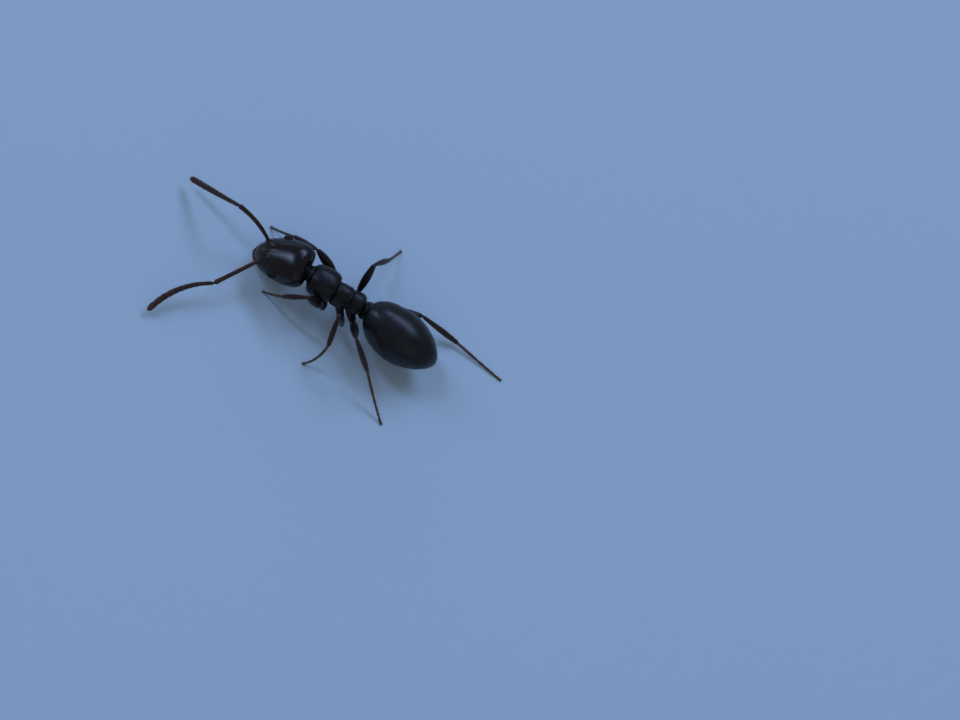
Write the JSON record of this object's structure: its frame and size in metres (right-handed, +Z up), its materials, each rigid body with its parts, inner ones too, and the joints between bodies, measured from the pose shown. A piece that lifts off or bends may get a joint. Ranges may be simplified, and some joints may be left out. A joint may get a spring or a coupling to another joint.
{
  "type": "ant",
  "caption": "Small black worker ant at life size, standing with its antennae held out, as a still model with a glossy egg-shaped head and gaster and slender brown legs.",
  "frame": {"origin": "on the ground under the middle of the bounding box of the standing ant, feelers and feet included", "axes": "+X forward, towards the head; +Y the ant's left; +Z up, away from the ground"},
  "size_m": [0.0078, 0.0044, 0.0014],
  "materials": {
    "black_cuticle": "gloss",
    "brown_black_cuticle": "gloss",
    "brown_cuticle": "satin",
    "pale_brown_cuticle": "satin",
    "eye_black": "gloss"
  },
  "bodies": {
    "root": {"head": "black_cuticle", "neck": "black_cuticle", "pronotum": "black_cuticle", "mesothorax": "black_cuticle", "propodeum": "black_cuticle", "petiole": "brown_black_cuticle", "gaster_segment_1": "black_cuticle", "gaster_segment_2": "black_cuticle", "gaster_segment_3": "black_cuticle", "gaster_segment_4": "black_cuticle", "gaster_segment_5": "black_cuticle", "eye_left": "eye_black", "mandible_left": "brown_cuticle", "antenna_left_scape": "brown_cuticle", "antenna_left_funiculus": "brown_cuticle", "left_fore_coxa": "brown_black_cuticle", "left_fore_trochanter": "brown_black_cuticle", "left_fore_femur": "brown_black_cuticle", "left_fore_tibia": "brown_cuticle", "left_fore_tarsus": "pale_brown_cuticle", "left_mid_coxa": "brown_black_cuticle", "left_mid_trochanter": "brown_black_cuticle", "left_mid_femur": "brown_black_cuticle", "left_mid_tibia": "brown_cuticle", "left_mid_tarsus": "pale_brown_cuticle", "left_hind_coxa": "brown_black_cuticle", "left_hind_trochanter": "brown_black_cuticle", "left_hind_femur": "brown_black_cuticle", "left_hind_tibia": "brown_cuticle", "left_hind_tarsus": "pale_brown_cuticle", "eye_right": "eye_black", "mandible_right": "brown_cuticle", "antenna_right_scape": "brown_cuticle", "antenna_right_funiculus": "brown_cuticle", "right_fore_coxa": "brown_black_cuticle", "right_fore_trochanter": "brown_black_cuticle", "right_fore_femur": "brown_black_cuticle", "right_fore_tibia": "brown_cuticle", "right_fore_tarsus": "pale_brown_cuticle", "right_mid_coxa": "brown_black_cuticle", "right_mid_trochanter": "brown_black_cuticle", "right_mid_femur": "brown_black_cuticle", "right_mid_tibia": "brown_cuticle", "right_mid_tarsus": "pale_brown_cuticle", "right_hind_coxa": "brown_black_cuticle", "right_hind_trochanter": "brown_black_cuticle", "right_hind_femur": "brown_black_cuticle", "right_hind_tibia": "brown_cuticle", "right_hind_tarsus": "pale_brown_cuticle"}
  },
  "joints": []
}
